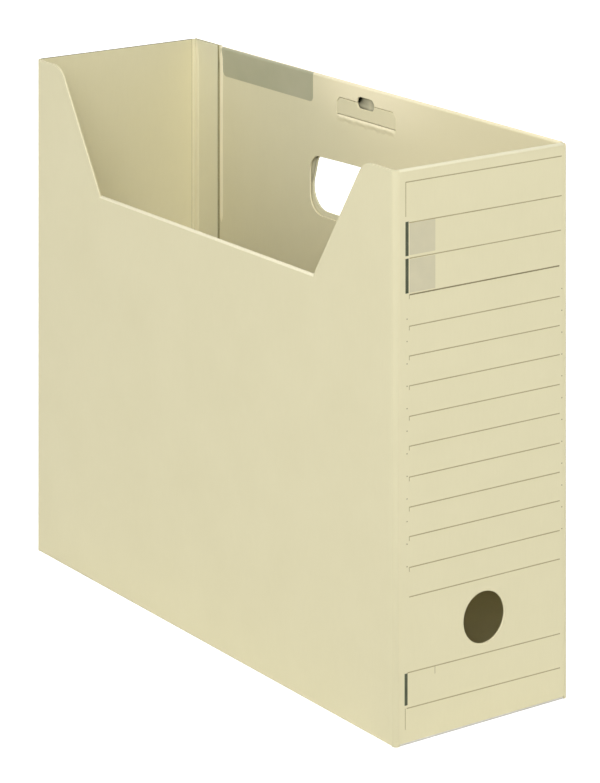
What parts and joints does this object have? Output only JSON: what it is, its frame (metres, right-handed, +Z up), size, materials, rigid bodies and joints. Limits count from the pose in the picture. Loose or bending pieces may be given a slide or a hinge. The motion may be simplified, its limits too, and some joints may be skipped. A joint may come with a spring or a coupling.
{
  "type": "file box with lid",
  "caption": "Upright box of laminated board for landscape sheets, open at the front's top, with a hinged lid, its tuck-in flap, a hand hole and a finger hole.",
  "frame": {"origin": "on the floor, in the middle of the footprint", "axes": "+X from the end wall to the spine, +Y from the cut-out front to the back wall, +Z upwards"},
  "size_m": [0.318, 0.102, 0.262],
  "materials": {
    "wall_board": "ivory paperboard with a silky clear film, printed with thin lines; stands in as wood",
    "folded_in_board": "the same ivory paperboard, folded to the inside",
    "floor_board": "the same ivory paperboard, seen only from below and inside",
    "lid_board": "the same ivory paperboard with its clear film",
    "printing_ink": "thin matt ink on the board: writing lines, bars and tinted fields"
  },
  "bodies": {
    "box": {"front_wall": "wall_board", "spine_wall": "wall_board", "back_wall": "wall_board", "end_wall": "wall_board", "front_spine_corner": "wall_board", "back_spine_corner": "wall_board", "front_end_corner": "wall_board", "back_end_corner": "wall_board", "front_liner": "folded_in_board", "spine_liner": "folded_in_board", "glue_flap": "folded_in_board", "front_floor_crease": "floor_board", "back_floor_crease": "floor_board", "front_bottom_flap": "floor_board", "back_bottom_flap": "floor_board", "spine_bottom_flap": "floor_board", "end_bottom_flap": "floor_board", "lid_crease": "lid_board"},
    "lid": {"lid_panel": "lid_board", "lid_flap_crease": "lid_board"},
    "front flap": {"lid_front_flap": "lid_board"},
    "tab": {"lock_tab": "lid_board"}
  },
  "joints": [
    {"name": "lid_hinge", "type": "hinge", "parent": "box", "child": "lid", "pos_m": [0, 0.0497, 0.2607], "axis": [-1, 0, 0], "range_deg": [0, 178]},
    {"name": "front_flap_hinge", "type": "hinge", "parent": "lid", "child": "front flap", "pos_m": [0, 0.04955, 0.16375], "axis": [-1, 0, 0], "range_deg": [-178, 0]},
    {"name": "lock_tab_hinge", "type": "hinge", "parent": "lid", "child": "tab", "pos_m": [0, 0.0484, 0.2443], "axis": [1, 0, 0], "range_deg": [0, 90]}
  ],
  "couplings": [
    {"joint": "front_flap_hinge", "follows": "lid_hinge", "ratio": -1}
  ]
}
